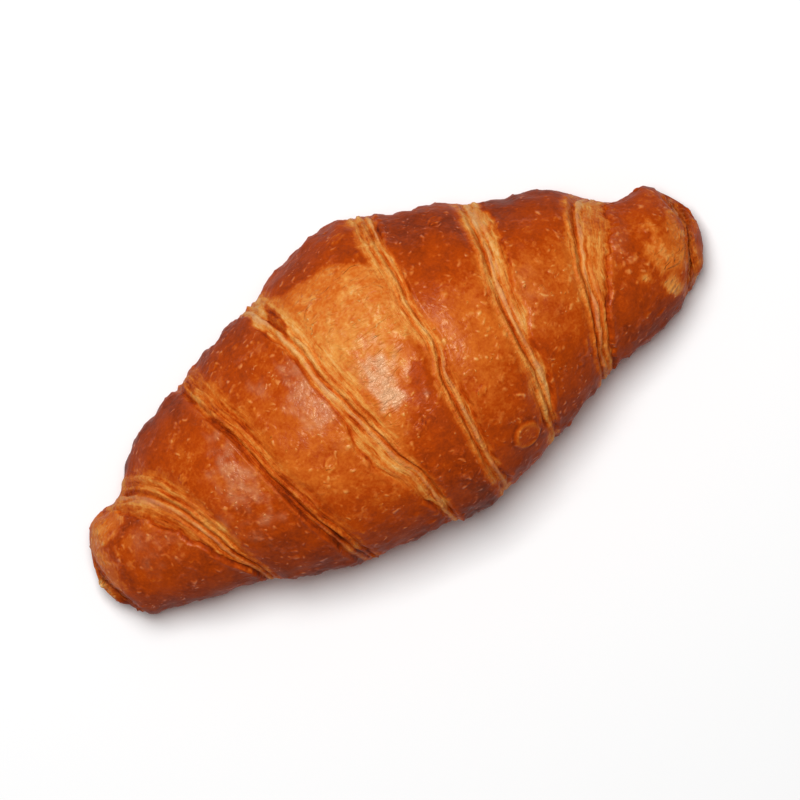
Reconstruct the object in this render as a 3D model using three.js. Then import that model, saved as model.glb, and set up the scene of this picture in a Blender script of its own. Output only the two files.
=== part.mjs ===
// A butter croissant, baked as one piece. It is a triangle of laminated dough rolled from its wide end to its point,
// which is tucked under the front. The triangle's two cut edges wind round the roll, one towards each end, and part
// the crust into seven bands.
// Millimetres: +X runs along the roll, +Y to its back and +Z up, and the flat baked base lies on z = 0.
import * as THREE from "three";
import { mergeVertices } from "three/addons/utils/BufferGeometryUtils.js";

// The body without its creases: how far the back and the front stand off the line of X, and how high the top is,
// at places along the roll.
const BODY = [
  { at: -80, back: 5.5, front: -14, top: 19 },
  { at: -70, back: 9.6, front: -17, top: 24.5 },
  { at: -60, back: 15.4, front: -19.6, top: 31 },
  { at: -50, back: 21.5, front: -21.6, top: 36 },
  { at: -38, back: 26.4, front: -26.9, top: 41 },
  { at: -25, back: 30.8, front: -31, top: 45 },
  { at: -10, back: 35.6, front: -33.2, top: 48 },
  { at: 5, back: 38, front: -34.4, top: 49 },
  { at: 18, back: 34.8, front: -32.3, top: 47.5 },
  { at: 30, back: 30.2, front: -28.8, top: 44 },
  { at: 42, back: 24.3, front: -24.4, top: 39 },
  { at: 54, back: 19.2, front: -21.4, top: 33.5 },
  { at: 62, back: 12, front: -19.8, top: 28.5 },
  { at: 70, back: 9.4, front: -17.2, top: 25 },
  { at: 80, back: 6, front: -14, top: 19 },
];
const HALF_LENGTH = 80;
const MID_Y = 1.8; // halfway between the back and the front at the widest place, which becomes y = 0

// The two blunt ends. Places along the roll are measured over the skin, so that the last of them run over an end
// face to its middle.
const END_START = 70;
const END_RUN = 18;
const END_MIDDLE = END_START + END_RUN;

// The cross-section.
const CENTRE_SHARE = 0.42; // height of the widest level, as a share of the top
const UNDER_SHARE = 1.36; // how deep the lower half would be with no tray, as a share of that height
const TOP_ROUND = 0.94; // 1 is an ellipse, and less is squarer
const UNDER_ROUND = 0.82;
const BASE_BLEND = 2.5; // softness of the turn from the sides into the flat base
const BASE_LIFT = 3; // how far the ends stand clear of the tray
const LIFT_START = 62;

// Where each cut edge lies along the roll at these angles round it, for one turn after another. Angles are in degrees
// from the top, and the back is +90.
const ANGLES = [-90, -60, -30, 0, 30, 60, 90];
const LEFT_TURNS = [
  [-3, -3, -5.7, -10.1, -14, -18.5, -21],
  [-24, -26, -30.3, -33.5, -36.8, -40.2, -42.5],
  [-47, -48, -50.3, -53.9, -58.8, -63, -66],
  [-76, -78, -79, -80, -81, -82, -82.5],
];
const RIGHT_TURNS = [
  [10.8, 10.6, 10.4, 13.3, 14.6, 14.3, 14.6],
  [25.3, 27.4, 30, 30.7, 33.5, 35.2, 36],
  [42.2, 43.8, 46.6, 49.7, 54, 56.8, 58.5],
  [70, 71.5, 75.3, 80, 79.5, 79, 79.5],
];
const POINT = { angle: -160, at: 4.5 }; // the point of the triangle, under the front
const FOLLOWED = 118; // the tray presses the creases out beyond this angle
const FADE_START = 86;

// A crease, across it: the outer layer's cut edge steps down into it, and the band below swells back beyond it.
const STEP_DEPTH = 1.7;
const STEP_RUN = 3.6;
const SWELL_RUN = 4.5;
const SLIT_DEPTH = 0.9;
const SLIT_WIDTH = 0.9;
const END_DEPTH_SHARE = 0.4; // how deep the creases are at the middle of an end, as a share

// The mesh: rings between one crease and the next, and strips round the roll.
const RINGS_PER_BAND = 10;
const RING_CROWDING = 0.72; // 0 spaces the rings evenly, and near 1 they crowd at the creases
const STRIPS_OVER = 32;
const STRIPS_UNDER = 16;

const CRUST = { color: 0xb4561a, roughness: 0.42, metalness: 0 };

const radians = THREE.MathUtils.degToRad;

// A smooth curve through pairs of [place, value].
function curveThrough(pairs) {
  const curve = new THREE.CubicInterpolant(
    pairs.map(([place]) => place),
    pairs.map(([, value]) => value),
    1,
  );
  return (place) => curve.evaluate(place)[0];
}

const back = curveThrough(BODY.map((s) => [s.at, s.back]));
const front = curveThrough(BODY.map((s) => [s.at, s.front]));
const top = curveThrough(BODY.map((s) => [s.at, s.top]));

// One cut edge, from the triangle's point outwards: its place along the roll by the angle turned through.
function cutEdge(turns) {
  const wound = turns.flatMap((turn, n) => turn.map((at, i) => [ANGLES[i] + 360 * n, at]));
  return curveThrough([[POINT.angle, POINT.at], ...wound]);
}

const leftEdge = cutEdge(LEFT_TURNS);
const rightEdge = cutEdge(RIGHT_TURNS);
const LAST_ANGLE = 360 * (LEFT_TURNS.length - 1) + FOLLOWED;

// sin or cos with its curve made squarer.
const squared = (value, round) => Math.sign(value) * Math.abs(value) ** round;

// How far one crease sinks the skin at a distance from it, which is positive beyond the crease's outer side.
function creaseDepth(outside) {
  const inside = THREE.MathUtils.smoothstep(outside, -STEP_RUN, 0);
  const step = outside < 0 ? inside : Math.exp(-outside / SWELL_RUN);
  return STEP_DEPTH * step + SLIT_DEPTH * Math.exp(-((outside / SLIT_WIDTH) ** 2));
}

// How far all the creases together sink the skin at one place. angle is from -180 to 180.
function creasesAt(along, angle) {
  let depth = 0;
  for (let turned = Math.max(angle, -FOLLOWED); turned < LAST_ANGLE; turned += 360) {
    depth += creaseDepth(leftEdge(turned) - along) + creaseDepth(along - rightEdge(turned));
  }
  return depth * (1 - THREE.MathUtils.smoothstep(Math.abs(angle), FADE_START, FOLLOWED));
}

// The skin at a place along the roll and an angle round it.
function skinPoint(along, angle) {
  const over = THREE.MathUtils.clamp((Math.abs(along) - END_START) / END_RUN, 0, 1) * (Math.PI / 2);
  const closing = Math.cos(over);
  const reach = Math.min(Math.abs(along), END_START) + (HALF_LENGTH - END_START) * Math.sin(over);
  const x = Math.sign(along) * reach;

  const middle = (back(x) + front(x)) / 2 - MID_Y;
  const halfWidth = (back(x) - front(x)) / 2;
  const level = CENTRE_SHARE * top(x);
  const lift = BASE_LIFT * THREE.MathUtils.smoothstep(Math.abs(along), LIFT_START, END_MIDDLE);

  const sin = Math.sin(radians(angle));
  const cos = Math.cos(radians(angle));
  const round = cos > 0 ? TOP_ROUND : UNDER_ROUND;
  const rise = cos > 0 ? top(x) - level : UNDER_SHARE * level;
  const side = closing * halfWidth * squared(sin, round);
  const sunk = level + closing * rise * squared(cos, round) - lift;
  const eased = (sunk + Math.hypot(sunk, BASE_BLEND)) / 2 - BASE_BLEND / 8;
  const up = Math.max(eased, 0) + lift - level;

  const depth = creasesAt(along, angle) * THREE.MathUtils.lerp(END_DEPTH_SHARE, 1, closing);
  const kept = 1 - depth / Math.hypot(halfWidth, level);
  return new THREE.Vector3(x, middle + side * kept, level + up * kept);
}

// The place along the roll of each ring, which follows the creases over the top and eases across them underneath.
function ringPlace(ring, angle) {
  if (Math.abs(angle) > FOLLOWED) {
    const share = THREE.MathUtils.smoothstep((angle + 360) % 360, FOLLOWED, 360 - FOLLOWED);
    return THREE.MathUtils.lerp(ringPlace(ring, FOLLOWED), ringPlace(ring, -FOLLOWED), share);
  }
  const left = LEFT_TURNS.map((_, turn) => leftEdge(angle + 360 * turn)).reverse();
  const right = RIGHT_TURNS.map((_, turn) => rightEdge(angle + 360 * turn));
  const edges = [-END_MIDDLE, ...left, ...right, END_MIDDLE];
  const band = Math.min(Math.floor(ring / RINGS_PER_BAND), edges.length - 2);
  const share = ring / RINGS_PER_BAND - band;
  const crowded = share - (RING_CROWDING * Math.sin(2 * Math.PI * share)) / (2 * Math.PI);
  return THREE.MathUtils.lerp(edges[band], edges[band + 1], crowded);
}

// The angle of each strip, which starts at the back, goes over the top and comes home underneath.
function stripAngle(strip) {
  const under = strip - STRIPS_OVER;
  const angle = under < 0 ? 90 - (180 * strip) / STRIPS_OVER : -90 - (180 * under) / STRIPS_UNDER;
  return angle < -180 ? angle + 360 : angle;
}

// A sphere's rings and strips, with each of its corners moved to its place on the skin.
function croissantGeometry() {
  const rings = (LEFT_TURNS.length + RIGHT_TURNS.length + 1) * RINGS_PER_BAND;
  const strips = STRIPS_OVER + STRIPS_UNDER;
  const sphere = new THREE.SphereGeometry(1, strips, rings);
  const { position, uv } = sphere.attributes;
  for (let i = 0; i < position.count; i++) {
    const ring = Math.round(uv.getY(i) * rings);
    const angle = stripAngle(Math.round(uv.getX(i) * strips) % strips);
    const point = skinPoint(ringPlace(ring, angle), angle);
    position.setXYZ(i, point.x, point.y, point.z);
  }
  sphere.deleteAttribute("normal");
  sphere.deleteAttribute("uv");
  const skin = mergeVertices(sphere);
  skin.computeVertexNormals();
  return skin;
}

const croissant = new THREE.Mesh(croissantGeometry(), new THREE.MeshStandardMaterial(CRUST));
croissant.name = "croissant";

const part = new THREE.Group();
part.add(croissant);

export default part;
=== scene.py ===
import random
from math import acos, asin, atan2, copysign, cos, degrees, exp, hypot, pi, radians, sin

import bmesh
import bpy
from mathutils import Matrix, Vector, kdtree, noise


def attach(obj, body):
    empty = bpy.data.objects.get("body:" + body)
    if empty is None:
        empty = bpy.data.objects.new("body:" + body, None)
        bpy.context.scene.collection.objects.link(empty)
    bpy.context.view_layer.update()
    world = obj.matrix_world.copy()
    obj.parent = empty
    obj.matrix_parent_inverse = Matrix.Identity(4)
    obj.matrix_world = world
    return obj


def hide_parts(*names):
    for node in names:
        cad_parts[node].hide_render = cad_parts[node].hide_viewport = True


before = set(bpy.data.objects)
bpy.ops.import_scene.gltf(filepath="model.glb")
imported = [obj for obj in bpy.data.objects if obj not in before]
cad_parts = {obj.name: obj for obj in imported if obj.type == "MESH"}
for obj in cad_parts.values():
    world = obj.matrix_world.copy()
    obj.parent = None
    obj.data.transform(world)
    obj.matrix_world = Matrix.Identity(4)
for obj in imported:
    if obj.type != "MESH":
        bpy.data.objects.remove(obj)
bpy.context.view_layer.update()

scene = bpy.context.scene
MM = 0.001

# THE VIEW
# A long lens looks straight down on the croissant, turned so that the roll climbs to the right across the picture.
VIEW_TURN = radians(31.22)
VIEW_CENTRE = (0.54 * MM, -5.68 * MM)
VIEW_LENS = 250
VIEW_HEIGHT = 1.276
camera = bpy.data.objects.new("view", bpy.data.cameras.new("view"))
scene.collection.objects.link(camera)
camera.data.lens = VIEW_LENS
camera.location = (*VIEW_CENTRE, VIEW_HEIGHT)
camera.rotation_euler = (0, 0, -VIEW_TURN)
scene.camera = camera

# THE STUDIO
# A white table under one broad soft lamp that hangs a little behind the croissant, in an evenly lit pale room.
scene.view_settings.view_transform = "Standard"
LAMP_TILT = radians(12)
LAMP_DISTANCE = 1.0
lamp = bpy.data.objects.new("soft_lamp", bpy.data.lights.new("soft_lamp", "AREA"))
scene.collection.objects.link(lamp)
lamp.data.shape = "RECTANGLE"
lamp.data.size = 0.4
lamp.data.size_y = 0.46
lamp.data.energy = 10.6
lamp.location = (0, LAMP_DISTANCE * sin(LAMP_TILT), LAMP_DISTANCE * cos(LAMP_TILT))
lamp.rotation_euler = (-LAMP_TILT, 0, 0)
lamp.visible_camera = False

room = bpy.data.worlds.new("pale_room")
room.use_nodes = True
room.node_tree.nodes["Background"].inputs["Color"].default_value = (0.16, 0.16, 0.16, 1)
scene.world = room

table_top = bmesh.new()
bmesh.ops.create_circle(table_top, cap_ends=True, segments=96, radius=4)
table_mesh = bpy.data.meshes.new("table")
table_top.to_mesh(table_mesh)
table_top.free()
table = bpy.data.objects.new("table", table_mesh)
scene.collection.objects.link(table)
white_laminate = bpy.data.materials.new("white_laminate")
white_laminate.use_nodes = True
laminate = white_laminate.node_tree.nodes["Principled BSDF"]
laminate.inputs["Base Color"].default_value = (0.9, 0.9, 0.9, 1)
laminate.inputs["Roughness"].default_value = 0.8
laminate.inputs["Specular IOR Level"].default_value = 0.1
table_mesh.materials.append(white_laminate)

# THE CROISSANT
# One triangle of laminated dough, rolled from its wide end to its point and baked as one piece. The egg-washed crust
# is glossy and deep brown, and the cut edges, which wind round the roll towards each end, bare paler flaky layers.

# Millimetres. How far the back and the front stand off the middle line, and how high the top is, along the roll.
BODY = [
    (-80, 6.2, -15.0, 18.6), (-75, 9.8, -16.8, 21.6), (-70, 9.6, -17.2, 24.4), (-65, 11.6, -18.3, 27.6),
    (-60, 15.9, -19.9, 30.6), (-55, 20.2, -21.1, 33.6), (-50, 21.9, -22.0, 36.2), (-38, 26.2, -26.8, 41.0),
    (-25, 30.2, -31.1, 44.8), (-17, 32.1, -31.9, 46.6), (-10, 35.0, -33.0, 47.8), (5, 38.2, -34.5, 48.8),
    (14, 36.8, -33.2, 48.0), (20, 33.2, -31.3, 47.0), (30, 29.8, -28.5, 44.0), (42, 23.9, -24.0, 39.2),
    (50, 21.6, -22.2, 35.4), (55, 18.9, -21.5, 33.0), (60, 14.0, -20.8, 29.8), (65, 10.2, -19.4, 27.0),
    (70, 9.4, -17.2, 24.6), (75, 9.4, -16.0, 21.6), (80, 7.0, -13.4, 18.0),
]
# How far the middle line lies in front of the middle of the whole roll.
MIDDLE_Y = 1.8
HALF_LENGTH = 79.6
# Each end closes over a run of skin that starts here along the roll.
END_START, END_RUN = 70, 18
END_MIDDLE = END_START + END_RUN
# The level at which the roll is widest, as a share of its height, and how full it is above and below that level.
CENTRE_SHARE = 0.42
TOP_ROUND, UNDER_ROUND, UNDER_SHARE = 0.94, 0.82, 1.36
# The flat base: how soft its edge is, and how far and from where it lifts towards the ends.
BASE_BLEND, BASE_LIFT, LIFT_START = 2.5, 3, 62
# How far round from the top, in degrees, the cut edges are followed.
FOLLOWED = 118

# The cut edges, by the end that they wind towards: -1 is the left end and 1 the right. Each row is a place on one:
# how far to the back, where the crevice is along the roll, and how wide the bared layers are on its upper and its
# lower side.
CUTS = {
    -1: [
        [(31, -17.6, 4.0, 2.0), (25, -14.6, 3.5, 2.8), (20, -13.0, 4.0, 2.0), (15, -12.3, 4.5, 2.0),
         (10, -11.9, 5.5, 2.2), (5, -10.8, 5.0, 2.5), (0, -9.5, 3.5, 3.0), (-5, -8.4, 3.0, 4.5),
         (-10, -7.3, 2.4, 5.5), (-15, -5.9, 1.2, 5.5), (-20, -3.8, 0.8, 5.3), (-26, -3.0, 0.9, 3.5),
         (-31, -2.5, 1.0, 2.0)],
        [(25, -41.5, 5.0, 0.8), (17, -38.0, 5.5, 0.8), (10, -35.7, 5.0, 0.8), (2, -34.0, 4.0, 0.8),
         (-7, -32.0, 3.5, 0.9), (-15, -30.0, 3.5, 1.2), (-22, -27.6, 3.2, 1.6), (-29, -25.0, 3.0, 2.0)],
        [(10.5, -62.5, 4.0, 4.0), (6, -57.2, 4.4, 5.0), (2.5, -55.0, 4.2, 5.7), (-3, -52.6, 3.6, 4.9),
         (-9, -50.5, 3.0, 3.9), (-15, -48.8, 2.2, 2.8), (-20, -46.0, 1.2, 2.0)],
    ],
    1: [
        [(34, 14.4, 3.7, 1.5), (27, 14.0, 3.5, 1.3), (20, 14.0, 3.5, 1.0), (13, 13.2, 3.5, 1.0), (8, 13.6, 3.4, 0.9),
         (4, 13.8, 3.1, 0.8), (0, 12.8, 2.4, 1.5), (-4, 11.1, 1.8, 2.4), (-10, 10.8, 1.8, 2.7),
         (-18, 10.4, 1.6, 2.2), (-26, 10.0, 1.5, 2.0), (-32, 10.0, 1.5, 2.0)],
        [(27, 35.0, 1.5, 3.8), (20, 34.3, 1.8, 4.2), (13, 33.0, 1.8, 4.2), (6, 31.5, 1.5, 4.0), (0, 30.4, 1.3, 4.0),
         (-6, 29.9, 1.3, 3.0), (-12, 29.8, 2.2, 2.2), (-18, 29.2, 3.0, 2.1), (-24, 27.9, 3.0, 1.0),
         (-29, 26.6, 2.5, 0.6)],
        [(15, 57.0, 1.5, 6.0), (12, 55.0, 1.6, 6.6), (7, 53.0, 1.8, 6.8), (3, 51.5, 1.7, 6.6), (-1, 50.0, 1.5, 5.8),
         (-7, 48.5, 1.5, 4.4), (-13, 46.5, 1.5, 3.5), (-19, 44.0, 1.5, 3.4)],
    ],
}
# The last turn, rolled up in each end face: its place over the skin at each angle round the roll.
END_TURNS = {
    -1: [(-118, -75.5), (-90, -76), (-60, -78), (-30, -80), (0, -82), (30, -83), (60, -83), (90, -83), (118, -83)],
    1: [(-118, 69.5), (-90, 70), (-60, 71.5), (-30, 75.3), (0, 80), (30, 79.5), (60, 79), (90, 79.5), (118, 80)],
}
END_UPPER, END_LOWER = 1.6, 3.2


def curve_through(points):
    """The smooth curve through rows of a place and its values, which are read at any place between."""
    places = [row[0] for row in points]
    last = len(points) - 1

    def at(place):
        place = min(max(place, places[0]), places[last])
        i = 0
        while i < last - 1 and place > places[i + 1]:
            i += 1
        gap = places[i + 1] - places[i]
        t = (place - places[i]) / gap
        before, after = max(i - 1, 0), min(i + 2, last)
        values = []
        for k in range(1, len(points[0])):
            a, b = points[i][k], points[i + 1][k]
            slope_a = (b - points[before][k]) / (places[i + 1] - places[before]) * gap
            slope_b = (points[after][k] - a) / (places[after] - places[i]) * gap
            values.append(
                a + t * (slope_a + t * (3 * (b - a) - 2 * slope_a - slope_b + t * (2 * (a - b) + slope_a + slope_b)))
            )
        return values

    return at


def smooth(value, low, high):
    t = min(max((value - low) / (high - low), 0), 1)
    return t * t * (3 - 2 * t)


def grain(x, y, z=0.0):
    """Even noise from -1 to 1."""
    return noise.noise(Vector((x, y, z)))


body_at = curve_through(BODY)


def squared(value, roundness):
    return copysign(abs(value) ** roundness, value)


def angle_at(x, to_back):
    """The angle round the roll, from the top, of a place seen from above."""
    back, front, _ = body_at(x)
    share = (to_back - (back + front) / 2) / ((back - front) / 2)
    return degrees(asin(squared(min(max(share, -1), 1), 1 / TOP_ROUND)))


# Each cut edge as a curve by angle, with its crevice and the two widths of its bared layers. Past its last rows it
# drifts on along the roll by no more than this a degree.
FRONT_DRIFT, BACK_DRIFT = 0.06, 0.1
END_TURN = 3
cuts = []
for side, turns in CUTS.items():
    for n, turn in enumerate(turns):
        rows = sorted((angle_at(x, y), x, upper, lower) for y, x, upper, lower in turn)
        first, second, before_last, last = rows[0], rows[1], rows[-2], rows[-1]
        drift_front = (second[1] - first[1]) / (second[0] - first[0])
        drift_back = (last[1] - before_last[1]) / (last[0] - before_last[0])
        drift_front = min(max(drift_front, -FRONT_DRIFT), FRONT_DRIFT)
        drift_back = min(max(drift_back, -BACK_DRIFT), BACK_DRIFT)
        rows.insert(0, (-FOLLOWED, first[1] + drift_front * (-FOLLOWED - first[0]), first[2], first[3]))
        rows.append((FOLLOWED, last[1] + drift_back * (FOLLOWED - last[0]), last[2], last[3]))
        cuts.append((side, n, curve_through(rows)))
    end_rows = [(angle, along, END_UPPER, END_LOWER) for angle, along in END_TURNS[side]]
    cuts.append((side, END_TURN, curve_through(end_rows)))
cuts.sort(key=lambda cut: cut[2](0)[0])

# The skin is a net of rings along the roll and strips round it. Most strips lie within OVER degrees of the top, and
# the rings crowd at each crevice, out to a margin past its bared layers.
RINGS_PER_CUT, RINGS_PER_END_CUT, RINGS_PER_BAND, RINGS_PER_CAP = 26, 12, 24, 10
STRIPS_OVER, STRIPS_UNDER = 196, 68
OVER = 100
MARGIN = 1.4
CROWDING = 1.35

ring_zones = []
for n, (side, turn, _) in enumerate(cuts):
    if n:
        ring_zones.append(RINGS_PER_BAND)
    ring_zones.append(RINGS_PER_END_CUT if turn == END_TURN else RINGS_PER_CUT)
ring_zones = [RINGS_PER_CAP] + ring_zones + [RINGS_PER_CAP]
rings = sum(ring_zones)
strips = STRIPS_OVER + STRIPS_UNDER


def strip_angle(strip):
    if strip <= STRIPS_OVER:
        return OVER - 2 * OVER * strip / STRIPS_OVER
    return -OVER - (360 - 2 * OVER) * (strip - STRIPS_OVER) / STRIPS_UNDER


END_ROUGHNESS = 0.4
MM_PER_DEGREE = 0.5


def edges_at(angle):
    """At one angle: each cut's crevice and widths, ragged as torn layers are."""
    found = []
    for n, (side, turn, curve) in enumerate(cuts):
        crevice, upper, lower = curve(angle)
        rough = END_ROUGHNESS if turn == END_TURN else 1
        round_mm = angle * MM_PER_DEGREE
        crevice += rough * (0.25 * grain(round_mm * 0.11, n * 9.1) + 0.16 * grain(round_mm * 0.45, n * 9.1, 4))
        upper *= 1 + 0.22 * grain(round_mm * 0.16, n * 5.3, 8) + 0.12 * grain(round_mm * 0.6, n * 5.3, 9)
        lower *= 1 + 0.25 * grain(round_mm * 0.18, n * 7.7, 12) + 0.12 * grain(round_mm * 0.6, n * 7.7, 13)
        found.append((side, turn, crevice, upper, lower))
    return found


def ring_places(angle, edges):
    """The place along the roll of every ring at one angle: even in the bands, and crowded at each crevice."""
    places = []
    start = -END_MIDDLE
    for n, (side, turn, crevice, upper, lower) in enumerate(edges):
        before, after = (lower + MARGIN, upper + MARGIN) if side < 0 else (upper + MARGIN, lower + MARGIN)
        band, cut = ring_zones[2 * n], ring_zones[2 * n + 1]
        places += [start + (crevice - before - start) * i / band for i in range(band)]
        for i in range(cut):
            step = 2 * i / cut - 1
            places.append(crevice + (after if step > 0 else before) * squared(step, CROWDING))
        start = crevice + after
    last = ring_zones[-1]
    return places + [start + (END_MIDDLE - start) * i / last for i in range(last + 1)]


# The skin sinks a little over the lip above a cut edge, and more to the bared layers. Below them it rises by
# FOOT_RISE at once, and swells back to its full height over a longer run.
LIP_DROP, CUT_DROP, FOOT_RISE, LIP_RUN, SWELL_RUN = 0.45, 1.15, 0.3, 2.4, 3.4
SWELL_REACH = 5 * SWELL_RUN
CREVICE_DEPTH, CREVICE_WIDTH = 0.55, 0.5
# A rope of dough stands along the upper lip of the crevice.
ROPE_PLACE, ROPE_WIDTH = 0.7, 0.5
LAYER_HEIGHT = 0.4
# The folds and, less than nothing deep, the ridges of the bared layers: where they lie beside the crevice, how deep
# they are, and their layer of the noise.
FOLDS = [
    (-0.85, -0.6, 70), (-1.7, 0.7, 71), (-2.5, -0.45, 72), (-3.4, 0.5, 73),
    (0.85, -0.45, 74), (1.6, 0.6, 75), (2.5, -0.4, 76), (3.4, 0.45, 77),
]
FOLD_WIDTH, FOLD_CLEARANCE = 0.42, 0.6
# A fold at the foot of the bared layers, with a ridge outside it. It is strongest on the last turn before each end.
FOOT_FOLD, FOOT_RIDGE, FOOT_RIDGE_WIDTH = 0.7, 0.35, 0.5
LAST_FOOT, OTHER_FOOT = 1.4, 0.8
LAST_TURN = 2


def cut_relief(out, upper, lower, along_cut, seed, turn):
    """How far one cut edge sinks the skin at a distance outside its crevice, how bare the layers are there, and how
    creased."""
    if out < -upper - LIP_RUN or out > lower + SWELL_REACH:
        return 0, 0, 0
    if out < -upper:
        depth = LIP_DROP * smooth(out, -upper - LIP_RUN, -upper) ** 2
    elif out < 0:
        depth = LIP_DROP + (CUT_DROP - LIP_DROP) * (1 + out / upper)
    elif out < lower:
        depth = CUT_DROP - FOOT_RISE * out / lower
    else:
        depth = (CUT_DROP - FOOT_RISE) * exp(-(out - lower) / SWELL_RUN)

    torn = 0.8 * grain(out * 0.5, along_cut * 0.3, seed + 60)
    bare = smooth(out + torn, -upper - 1.4, -upper + 1.4) * (1 - smooth(out + torn, lower - 0.4, lower + 0.8))
    sway = out + 0.9 * grain(along_cut * 0.13, seed, 66)
    layers = grain(sway * 0.6, along_cut * 0.07, seed + 30) + 0.6 * grain(sway * 1.2, along_cut * 0.16, seed + 40)
    rope = exp(-(((out + ROPE_PLACE) / ROPE_WIDTH) ** 2)) * (1 + 0.8 * grain(along_cut * 0.1, seed, 70))
    rope *= 0.35 + 0.3 * grain(along_cut * 0.85, out * 0.5, seed + 80)

    crevice = CREVICE_DEPTH * (1 + grain(along_cut * 0.15, seed, 20))
    crevice = exp(-((out / CREVICE_WIDTH) ** 2)) * crevice
    folds = 0
    for place, strength, layer in FOLDS:
        width = lower if place > 0 else upper
        wander = place + 0.7 * grain(along_cut * 0.16, seed) + 0.3 * grain(along_cut * 0.3, seed, layer)
        strength *= smooth(width, abs(place), abs(place) + 1.4)
        strength *= max(0.7 + 1.5 * grain(along_cut * 0.13, seed, layer + 9), 0)
        if strength < 0:
            strength *= 0.9 + 0.9 * grain(along_cut * 0.7, out * 0.4, seed + layer)
        folds += strength * exp(-(((out - wander) / FOLD_WIDTH) ** 2))
    folds *= 1 - exp(-((out / FOLD_CLEARANCE) ** 2))
    past_foot = out - lower
    foot_line = FOOT_FOLD * exp(-((past_foot / FOLD_WIDTH) ** 2))
    foot_line -= FOOT_RIDGE * exp(-(((past_foot - 1) / FOOT_RIDGE_WIDTH) ** 2))
    foot_line *= (LAST_FOOT if turn == LAST_TURN else OTHER_FOOT) + grain(along_cut * 0.1, seed, 90)
    creased = min(max(1.15 * crevice + 1.1 * folds + foot_line, -1), 1)
    return depth - LAYER_HEIGHT * bare * layers - rope + crevice + folds + foot_line, bare, creased


# Where the skin is thin and glossy, and crinkled as it cooled, with a painted highlight laid into its colour: the
# middle of each patch, half its two sizes, and how strong it is there.
THIN_AND_HIGHLIGHT_PATCHES = [
    (0, 2.5, 5.5, 10, 1.3), (-17, 6, 5.5, 14, 0.6), (-39, 0, 6, 14, 0.6), (-47, -8, 5, 4, 0.4),
    (-24, 14, 3, 4, 0.4), (17, 6, 6, 13, 0.15), (37.5, 4, 5, 10, 0.25), (-63, -2, 7, 8, 0.3), (61, 1, 4, 5, 0.3),
]


def thin_skin_and_highlight(x, to_back):
    """How thin and glossy the skin is at a place seen from above, which also sets a painted highlight."""
    ragged = 0.6 * grain(x * 0.2, to_back * 0.2, 44) + 0.6 * grain(x * 0.55, to_back * 0.4, 54)
    return max(
        patch_strength * (1 - smooth(hypot((x - px) / length, (to_back - py) / width) + ragged, 0.1, 1.2))
        for px, py, length, width, patch_strength in THIN_AND_HIGHLIGHT_PATCHES
    )


CRINKLE_HEIGHT = 0.2


def crinkle(x, y):
    """Short curved wrinkles, from 0 to 1."""
    across = x + 1.1 * grain(x * 0.3, y * 0.3, 5)
    along = y + 1.1 * grain(x * 0.3, y * 0.3, 15)
    return max(1 - 3 * abs(grain(across * 0.28, along * 0.52, 25)), 0)


# The cut edges are shallower down the sides, and fade out towards the base: where they start to fade, in degrees
# from the top, and how ragged that start is. The rolled-up ends are cut deeper.
SIDE_LOSS, FADE_START, FADE_ROUGHNESS = 0.45, 84, 9
END_TURN_DEPTH = 1.5


def lumps_at(x, y, z, wrapped):
    """How far the uneven dough stands out: broad and fine lumps all over, and knobbles low on the sides."""
    lumps = 0.45 * grain(x * 0.055, y * 0.055, z * 0.055) + 0.3 * grain(x * 0.16, y * 0.16, z * 0.16 + 7)
    lumps += 0.07 * grain(x * 0.42, y * 0.42, z * 0.42 + 17)
    knobbly = smooth(abs(wrapped), 55, 85) * (1 - smooth(abs(wrapped), 120, 150))
    lumps += knobbly * (0.8 * grain(x * 0.28, y * 0.2, z * 0.13 + 27) + 0.3 * grain(x * 0.75, y * 0.5, z * 0.4 + 37))
    return lumps


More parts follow.
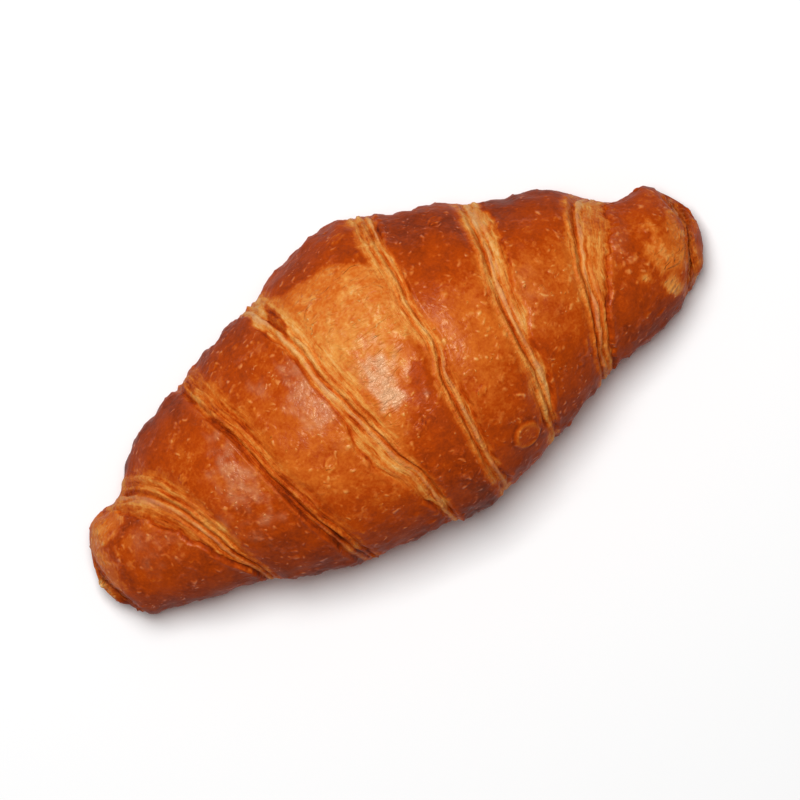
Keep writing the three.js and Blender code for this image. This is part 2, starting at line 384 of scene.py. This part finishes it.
def skin_point(along, angle, edges):
    """A point of the crust with how bare and how creased it is, how far it lies outside the nearest crevice and the
    foot of its layers, and how thin its skin is, which also sets a painted highlight."""
    over = min(max((abs(along) - END_START) / END_RUN, 0), 1) * pi / 2
    closing = cos(over)
    x = copysign(min(abs(along), END_START) + (HALF_LENGTH - END_START) * sin(over), along)
    back, front, top = body_at(x)
    middle = (back + front) / 2 - MIDDLE_Y
    half_width = (back - front) / 2
    level = CENTRE_SHARE * top
    lift = BASE_LIFT * smooth(abs(along), LIFT_START, END_MIDDLE)

    up_share = cos(radians(angle))
    roundness = TOP_ROUND if up_share > 0 else UNDER_ROUND
    rise = top - level if up_share > 0 else UNDER_SHARE * level
    out_y = closing * half_width * squared(sin(radians(angle)), roundness)
    sunk = level + closing * rise * squared(up_share, roundness) - lift
    eased = (sunk + hypot(sunk, BASE_BLEND)) / 2 - BASE_BLEND / 8
    up = max(eased, 0) + lift - level

    wrapped = (angle + 180) % 360 - 180
    ragged = FADE_ROUGHNESS * grain(x * 0.3, 60)
    fade = 1 - smooth(abs(wrapped) + ragged, FADE_START, FOLLOWED - FADE_ROUGHNESS)
    shallow = 1 - SIDE_LOSS * smooth(abs(wrapped), 45, 85)
    depth = bare = creased = 0
    nearest, nearest_out, foot = 99, 0, 0
    along_cut = radians(wrapped) * half_width
    if fade > 0:
        for n, (side, turn, crevice, upper, lower) in enumerate(edges):
            out = (along - crevice) * side
            d, b, c = cut_relief(out, upper, lower, along_cut, n * 3.7, turn)
            share = fade * shallow * (END_TURN_DEPTH if turn == END_TURN else 1)
            depth += d * share
            bare = max(bare, b * fade)
            creased = c * fade if abs(c * fade) > abs(creased) else creased
            if abs(out) < nearest:
                nearest, nearest_out, foot = abs(out), out, out - lower
    y, z = middle + out_y, level + up
    lumps = lumps_at(x, y, z, wrapped)
    thin = thin_skin_and_highlight(x, y + MIDDLE_Y) * (1 - bare) * (1 - smooth(abs(wrapped), 70, 95))
    if thin > 0:
        lumps += CRINKLE_HEIGHT * thin * crinkle(x, y)
    depth -= lumps * smooth(z, 0, 6)
    x -= copysign(depth * sin(over), along)
    kept = 1 - depth * closing / max(hypot(out_y, up), 4)
    z = max(level + up * kept, 0)
    return (x, middle + out_y * kept, z), bare, creased, nearest_out, foot, thin


# How brown each band is baked, by the angle round the roll: 0 is pale gold and 1 is nearly burnt.
BROWNING = [
    [(-118, 0.5), (-90, 0.7), (-60, 0.7), (-30, 0.66), (0, 0.56), (30, 0.46), (60, 0.6), (90, 0.7), (118, 0.5)],
    [(-118, 0.5), (-90, 0.78), (-60, 0.76), (-30, 0.68), (0, 0.56), (30, 0.58), (60, 0.64), (90, 0.76), (118, 0.5)],
    [(-118, 0.45), (-90, 0.8), (-60, 0.76), (-30, 0.66), (0, 0.59), (30, 0.6), (60, 0.7), (90, 0.78), (118, 0.45)],
    [(-118, 0.45), (-90, 0.76), (-60, 0.7), (-30, 0.54), (0, 0.5), (30, 0.6), (60, 0.68), (90, 0.72), (118, 0.45)],
    [(-118, 0.45), (-90, 0.6), (-60, 0.5), (-30, 0.41), (-12, 0.38), (0, 0.37), (25, 0.34), (50, 0.4), (90, 0.7),
     (118, 0.45)],
    [(-118, 0.45), (-90, 0.68), (-60, 0.71), (-30, 0.61), (0, 0.47), (30, 0.65), (60, 0.77), (90, 0.66), (118, 0.45)],
    [(-118, 0.45), (-90, 0.76), (-60, 0.72), (-30, 0.63), (0, 0.49), (30, 0.61), (60, 0.74), (90, 0.76), (118, 0.45)],
    [(-118, 0.5), (-90, 0.78), (-60, 0.74), (-30, 0.68), (0, 0.62), (30, 0.62), (60, 0.68), (90, 0.76), (118, 0.5)],
    [(-118, 0.5), (-90, 0.7), (-60, 0.64), (-30, 0.57), (0, 0.55), (30, 0.59), (60, 0.65), (90, 0.7), (118, 0.5)],
]
browning_at = [curve_through(rows) for rows in BROWNING]
# How brown the bared layers are at each cut edge, from the left end to the right.
BARE_TONES = [0.62, 0.37, 0.48, 0.26, 0.28, 0.22, 0.34, 0.5]
BASE_TONE = 0.6
# The middle band has a dark cap at its back, and is darker where it faces front right.
MIDDLE_BAND, CAP_TONE, CAP_EDGE, FRONT_RIGHT = 4, 0.67, 29.8, 0.28
# Gold patches at both ends, where the egg wash ran thin, with a dark rim beside the left one.
LEFT_GOLD, RIGHT_GOLD, GOLD_RAGGED, DARK_RIM = 0.42, 0.38, 0.16, 0.17
# A brown scrap on the bared layers: its middle, half its two sizes and its tone.
SCRAP_X, SCRAP_Y, SCRAP_LENGTH, SCRAP_WIDTH, SCRAP_TONE = -14, 26, 1.5, 5.5, 0.6
# Painted shade darkens the crust along the crevices and folds of the cut edges, and painted light pales the ridges
# between them.
FOLD_PAINTED_SHADE, RIDGE_PAINTED_LIGHT = 0.27, 0.14


def browning(point, along, angle, edges, bare, creased):
    """How brown the crust is baked at one of its points; creases get painted shade and ridges painted light."""
    x, y = point[0], point[1] + MIDDLE_Y
    wrapped = (angle + 180) % 360 - 180
    if not edges:
        return BASE_TONE
    band = sum(along > edge[2] for edge in edges)
    tone = browning_at[band](wrapped)[0]
    if band == MIDDLE_BAND:
        cap = CAP_EDGE - 0.045 * max(x, 0) ** 2 + 0.9 * grain(x * 0.25, 3)
        tone += (CAP_TONE - tone) * smooth(y, cap - 0.5, cap + 0.7)
        tone += FRONT_RIGHT * smooth(x - 0.5 * y, 0, 8) * smooth(-y, -16, 4)
    ragged = grain(x * 0.22, y * 0.22, 50) + 0.6 * grain(x * 0.6, y * 0.6, 60)
    right_patch = smooth(hypot((x - 70.5) / 7, (y + 8) / 8.5) + 0.55 * ragged, 0.7, 1.1)
    left_edge = max(-74.6 - x, min(y - 5.2 - 0.33 * (x + 66), -62.5 - x)) + 1.6 * ragged
    gold = max(1 - right_patch if x > 60 else 0, smooth(left_edge, -0.4, 0.6) * smooth(y, -11, -7))
    tone += ((RIGHT_GOLD if x > 0 else LEFT_GOLD) + GOLD_RAGGED * ragged - tone) * gold
    tone += DARK_RIM * exp(-((left_edge + 1.6) / 1.3) ** 2) * smooth(y, -11, -7)
    nearest = min(range(len(edges)), key=lambda n: abs(along - edges[n][2]))
    bare_tone = BARE_TONES[nearest] + 0.05 * smooth(-y, 2, 18) - 0.04 * smooth(y, 6, 20)
    tone += (bare_tone - tone) * bare
    off_scrap = hypot((x - SCRAP_X) / SCRAP_LENGTH, (y - SCRAP_Y) / SCRAP_WIDTH) + 0.5 * ragged
    tone += (SCRAP_TONE - tone) * (1 - smooth(off_scrap, 0.65, 1.05))
    return tone + (FOLD_PAINTED_SHADE if creased > 0 else RIDGE_PAINTED_LIGHT) * creased


crust = bmesh.new()
bmesh.ops.create_uvsphere(crust, u_segments=strips, v_segments=rings, radius=1)
bare_layer = crust.verts.layers.float.new("bare")
crease_layer = crust.verts.layers.float.new("crease")
out_layer = crust.verts.layers.float.new("out")
foot_layer = crust.verts.layers.float.new("foot")
thin_and_highlight_layer = crust.verts.layers.float.new("thin")
wash_layer = crust.verts.layers.float.new("wash")
tone_layer = crust.verts.layers.float.new("tone")

by_strip = {}
for vert in crust.verts:
    ring = round((1 - acos(min(max(vert.co.z, -1), 1)) / pi) * rings)
    strip = 0 if ring in (0, rings) else round(atan2(vert.co.y, vert.co.x) / (2 * pi) * strips) % strips
    by_strip.setdefault(strip, []).append((ring, vert))

back_edges, front_edges = edges_at(FOLLOWED), edges_at(-FOLLOWED)
back_places, front_places = ring_places(FOLLOWED, back_edges), ring_places(-FOLLOWED, front_edges)
for strip, column in by_strip.items():
    angle = strip_angle(strip)
    if abs(angle) <= FOLLOWED:
        edges = edges_at(angle)
        places = ring_places(angle, edges)
    else:
        share = smooth(-angle, FOLLOWED, 360 - FOLLOWED)
        edges = []
        places = [f + (b - f) * share for b, f in zip(back_places, front_places)]
    for ring, vert in column:
        point, bare, creased, out, foot, thin = skin_point(places[ring], angle, edges)
        vert.co = Vector(point) * MM
        vert[bare_layer] = bare
        vert[out_layer] = out
        vert[foot_layer] = foot
        vert[thin_and_highlight_layer] = thin
        vert[crease_layer] = creased
        vert[wash_layer] = 1 - smooth(abs((angle + 180) % 360 - 180), 35, 80)
        vert[tone_layer] = browning(point, places[ring], angle, edges, bare, creased)


# Blisters, where steam lifted the skin: the plain ones, and a few that rose and sank again and left a ring.
crust.verts.ensure_lookup_table()
crust.normal_update()
skin_tree = kdtree.KDTree(len(crust.verts))
for vert in crust.verts:
    skin_tree.insert(vert.co, vert.index)
skin_tree.balance()
PALE_DOME, PALE_RING, RING_SHADOW = 0.16, 0.16, 0.12
PLATEAU_PALE = 0.014


def raise_blister(middle, length, width, height, turn, ring):
    """Lifts the skin in an oval round a vertex. ring is how much of the middle has sunk back."""
    up = middle.normal
    level_way = up.cross(Vector((0, -1, 0))).normalized()
    lengthways = level_way * cos(turn) + up.cross(level_way) * sin(turn)
    sideways = up.cross(lengthways)
    centre = middle.co.copy()
    for _, index, _ in skin_tree.find_range(centre, length * 0.75 * MM):
        vert = crust.verts[index]
        off = (vert.co - centre) / MM
        away = hypot(off.dot(lengthways) / length, off.dot(sideways) / width) * 2
        dome = 1 - smooth(away, 0.2, 1.15)
        plateau = 1 - smooth(away, 0.85, 1.1)
        rim = exp(-(((away - 0.9) / 0.14) ** 2))
        lifted = dome * (1 - ring) + (0.5 * plateau + 0.5 * rim) * ring
        vert.co += up * lifted * height * MM
        paler = PALE_DOME * dome * (1 - ring) + ring * (PLATEAU_PALE * length * plateau + PALE_RING * rim)
        shadow = RING_SHADOW * ring * exp(-(((away - 1.2) / 0.12) ** 2))
        vert[tone_layer] += shadow - paler


dice = random.Random(7)
BLISTERS, SMALL_SHARE = 330, 0.85
smooth_skin = [v for v in crust.verts if v.co.z > 5 * MM and v[bare_layer] < 0.2]
for _ in range(BLISTERS):
    size = dice.uniform(0.8, 1.5) if dice.random() < SMALL_SHARE else dice.uniform(1.5, 3)
    flat = dice.uniform(0.4, 0.9)
    height = 0.16 * size * flat + 0.05
    raise_blister(dice.choice(smooth_skin), size, size * flat, height, dice.uniform(0, pi), 0)
# Each row is a place seen from above, two sizes and a height.
LEANING = radians(30)
RING_BLISTERS = [
    (21, -25.2, 6.6, 7.6, 0.65), (1.5, -11.5, 2.8, 2.2, 0.4), (17, -11.5, 2.4, 1.8, 0.35), (-50, 6.2, 2.2, 2, 0.35),
    (-31.5, 24.3, 2.8, 2.8, 0.4), (7, 34, 3.6, 3, 0.4), (28, 26.5, 3.6, 2.6, 0.3), (-20, -8, 3.4, 2.4, 0.2),
]
for x, y, length, width, height in RING_BLISTERS:
    seat = Vector((x, y - MIDDLE_Y)) * MM
    middle = min((v for v in crust.verts if v.co.z > 8 * MM), key=lambda v: (v.co.xy - seat).length)
    raise_blister(middle, length, width, height, LEANING, 1)

for face in crust.faces:
    face.smooth = True
croissant_mesh = bpy.data.meshes.new("croissant_crust")
crust.to_mesh(croissant_mesh)
crust.free()
croissant = bpy.data.objects.new("croissant_crust", croissant_mesh)
scene.collection.objects.link(croissant)


class Mix:
    """A value, colour or direction on its way through a material, which works with numbers as numbers do."""

    def __init__(self, socket):
        self.socket = socket

    def node(self, kind, settings, inputs, output=0):
        tree = self.socket.id_data
        made = tree.nodes.new(kind)
        for name, value in settings.items():
            if name == "stops":
                ramp = made.color_ramp
                while len(ramp.elements) < len(value):
                    ramp.elements.new(1)
                for element, (place, colour) in zip(ramp.elements, value):
                    element.position = place
                    element.color = (*colour, 1)
            else:
                setattr(made, name, value)
        for name, value in inputs.items():
            if isinstance(value, Mix):
                tree.links.new(value.socket, made.inputs[name])
            else:
                made.inputs[name].default_value = value
        return Mix(made.outputs[output])

    def math(self, operation, *values):
        return self.node("ShaderNodeMath", {"operation": operation}, dict(enumerate(values)))

    def __add__(self, other):
        return self.math("ADD", self, other)

    def __sub__(self, other):
        return self.math("SUBTRACT", self, other)

    def __rsub__(self, other):
        return self.math("SUBTRACT", other, self)

    def __mul__(self, other):
        return self.math("MULTIPLY", self, other)

    __radd__ = __add__
    __rmul__ = __mul__

    def size(self):
        return self.math("ABSOLUTE", self)

    def between(self, low, high):
        """0 at low and 1 at high, and smooth from one to the other."""
        return self.node(
            "ShaderNodeMapRange",
            {"interpolation_type": "SMOOTHSTEP"},
            {"Value": self, "From Min": low, "From Max": high},
        )

    def noise(self, scale, detail=3, distortion=0.0, roughness=0.5):
        """Noise from about -0.5 to 0.5, at this place."""
        sizes = {"Vector": self, "Scale": scale, "Detail": detail, "Distortion": distortion, "Roughness": roughness}
        return self.node("ShaderNodeTexNoise", {}, sizes) - 0.5


# Egg-washed crust, from pale gold through orange to nearly burnt.
CRUST_COLOURS = [
    (0.0, (0.76, 0.42, 0.15)), (0.2, (0.69, 0.27, 0.052)), (0.4, (0.57, 0.125, 0.012)), (0.6, (0.4, 0.049, 0.002)),
    (0.8, (0.22, 0.026, 0.003)), (1.0, (0.08, 0.012, 0.003)),
]
# The pale film of dried wash, which is also the colour of the painted highlights and the painted sheen.
DRIED_FILM_AND_SHEEN = (0.67, 0.33, 0.16)
baked = bpy.data.materials.new("baked_crust")
baked.use_nodes = True
metres = Mix(baked.node_tree.nodes.new("ShaderNodeTexCoord").outputs["Object"])
spot = metres.node("ShaderNodeVectorMath", {"operation": "SCALE"}, {0: metres, "Scale": 1000.0})
tone, bare, crease, thin, wash, out, foot = (
    metres.node("ShaderNodeAttribute", {"attribute_name": name}, {}, "Fac")
    for name in ("tone", "bare", "crease", "thin", "wash", "out", "foot")
)
back_ways = spot.node("ShaderNodeSeparateXYZ", {}, {0: spot}, 1)
up_ways = spot.node("ShaderNodeSeparateXYZ", {}, {0: spot}, 2)

# The bared layers: long streaks beside the cut edge, puckers across them, and thin painted-shade lines at the crevice
# and foot.
coarse = spot.node("ShaderNodeCombineXYZ", {}, {0: out * 0.85, 1: back_ways * 0.13, 2: up_ways * 0.13})
fine = spot.node("ShaderNodeCombineXYZ", {}, {0: out * 2.2, 1: back_ways * 0.3, 2: up_ways * 0.3})
layers = coarse.noise(1.0, 2, 0.3) + 0.9 * fine.noise(1.0, 4, 0.4, 0.6)
across = spot.node("ShaderNodeCombineXYZ", {}, {0: out * 0.5, 1: back_ways * 1.3, 2: up_ways * 1.3})
puckers = across.noise(1.0, 2, 0.5) * (1 - (out.size() - 1).size().between(0.5, 1.3)) * bare
# Painted shade: thin dark lines where the crevice and the foot of the layers sink deepest.
crevice_shade_lines = (1 - out.size().between(0.05, 0.4)) + 0.7 * (1 - foot.size().between(0.05, 0.45))
crevice_shade_lines = crease * crevice_shade_lines * (0.4 + 1.6 * spot.noise(0.14, 2)).between(0.0, 1.0)

# Pale freckles where small bubbles burst. The palest skin has few.
drift = spot.node("ShaderNodeTexNoise", {}, {"Vector": spot, "Scale": 0.35, "Detail": 1}, 1)
swirled = spot.node("ShaderNodeVectorMath", {"operation": "MULTIPLY_ADD"}, {0: drift, 1: (4, 4, 4), 2: spot})
pale = 1 - tone.between(0.38, 0.47)


def flecks(scale, share_start):
    """Small pale marks, drawn out by the swirl, in some of the cells of a pattern."""
    cells = {"Vector": swirled, "Scale": scale}
    off_middle = spot.node("ShaderNodeTexVoronoi", {}, cells, 0)
    pick = spot.node("ShaderNodeSeparateColor", {}, {0: spot.node("ShaderNodeTexVoronoi", {}, cells, 1)})
    return (1 - off_middle.between(0.0, 0.42)) * pick.between(share_start, 0.8) * (1 - bare)


clustered = spot.noise(0.1, 2).between(0.0, 0.15)
freckles = flecks(0.5, 0.35) * (1 - 0.8 * pale) + 1.1 * flecks(0.95, 0.6) * clustered
# Glints: glossy spots of egg wash whose colour is also lightened as a painted highlight.
glints = wash * (spot.noise(0.26, 2) + 0.5 * spot.noise(0.9, 2)).between(0.04, 0.26) * (1 - bare)

# How brown each spot is, with painted shade along the crevices and a painted highlight where glints lie, and the pale
# film of dried wash and steamed starch that lies over it. The film also holds painted highlights on the thin patches
# and on the ridges of the bared layers, and a painted sheen down the sides, stronger at the front. It is kept out of
# the creases, which paints them darker.
mottle = 0.42 * spot.noise(0.13, 4, 0.4, 0.6) + 0.3 * spot.noise(0.5, 3, 0.6, 0.6) + 0.22 * spot.noise(1.6, 2)
shade = tone + mottle * (1 + 0.25 * bare) + bare * layers * 0.6 + 0.1 * crevice_shade_lines + 0.02 * thin
shade = shade - 0.28 * freckles - 0.13 * glints
crust_colour = shade.node("ShaderNodeValToRGB", {"stops": CRUST_COLOURS}, {"Fac": shade})
# A cream band along the ridge beside each crevice: partly the paler dough of the layers, partly a painted sheen.
ridge_cream_and_sheen = 1 - (out + 1.6 * spot.noise(0.12, 3) - 1.1).size().between(0.5, 1.4)
ridge_cream_and_sheen = ridge_cream_and_sheen * (0.6 + 0.4 * back_ways.between(-26, 0)) * (0.7 + 2 * spot.noise(0.25, 3))
# Painted highlight: pale film laid on the thin glossy patches; the film on pale skin and freckles is the crust's own.
skin_film_and_highlight = 0.05 * pale + 0.54 * thin * (1 + 2.5 * spot.noise(0.45, 3)) + 0.2 * freckles
layer_film_and_sheen = bare * (0.3 * layers + 0.45 * ridge_cream_and_sheen)
# Painted sheen: a grey film down the unwashed sides, stronger at the front, standing in for reflection there.
painted_side_sheen = (0.14 - 0.1 * back_ways.between(-20, 8)) * (1 - wash) * spot.noise(0.08, 3).between(-0.05, 0.2)
film_and_sheen = (skin_film_and_highlight + layer_film_and_sheen) * (1 - crease.between(0.0, 0.35)) + painted_side_sheen + 0.07 * glints
colour = crust_colour.node(
    "ShaderNodeMix", {"data_type": "RGBA"}, {0: film_and_sheen.between(0.0, 1.0), 6: crust_colour, 7: (*DRIED_FILM_AND_SHEEN, 1)}, 2
)

# Fine relief, in millimetres: wrinkles, which run along the roll where the skin is pale or thin, freckles and layers.
wrinkles = spot.noise(0.6, 2, 1.6) * (0.1 + 0.36 * thin)
stretched = spot.node("ShaderNodeVectorMath", {"operation": "MULTIPLY"}, {0: spot, 1: (0.5, 1.1, 1)})
ridges = stretched.noise(0.5, 1, 0.9).size().between(0.0, 0.3)
wrinkles = wrinkles + 0.26 * ridges * (pale + 0.5 * thin).between(0.0, 1.0) * (1 - bare)
relief = wrinkles + 0.14 * freckles + 0.08 * glints + 0.4 * bare * layers + 0.35 * puckers
bump = relief.node("ShaderNodeBump", {}, {"Height": relief, "Strength": 1.0, "Distance": 0.001})

# Dry crust, and crust under glossy egg wash, which is brushed on the top and left patchy.
dry = baked.node_tree.nodes["Principled BSDF"]
dry.inputs["Roughness"].default_value = 0.38
dry.inputs["Specular IOR Level"].default_value = 0.012
glossy = baked.node_tree.nodes.new("ShaderNodeBsdfPrincipled")
glossy.inputs["Roughness"].default_value = 0.33
glossy.inputs["Specular IOR Level"].default_value = 0.45
glossy.inputs["Specular Tint"].default_value = (1, 0.94, 0.74, 1)
for crust_shader in (dry, glossy):
    baked.node_tree.links.new(colour.socket, crust_shader.inputs["Base Color"])
    baked.node_tree.links.new(bump.socket, crust_shader.inputs["Normal"])
brushed = (0.2 + 0.55 * thin + 0.7 * spot.noise(0.14, 4)) * wash
egg_wash = brushed * (1 - 0.3 * bare) * (1 - crease) + 0.4 * freckles + 0.3 * glints
washed_crust = baked.node_tree.nodes.new("ShaderNodeMixShader")
baked.node_tree.links.new(egg_wash.between(0.0, 1.0).socket, washed_crust.inputs[0])
baked.node_tree.links.new(dry.outputs[0], washed_crust.inputs[1])
baked.node_tree.links.new(glossy.outputs[0], washed_crust.inputs[2])
baked.node_tree.links.new(washed_crust.outputs[0], baked.node_tree.nodes["Material Output"].inputs["Surface"])
croissant_mesh.materials.append(baked)

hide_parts("croissant")
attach(croissant, "root")
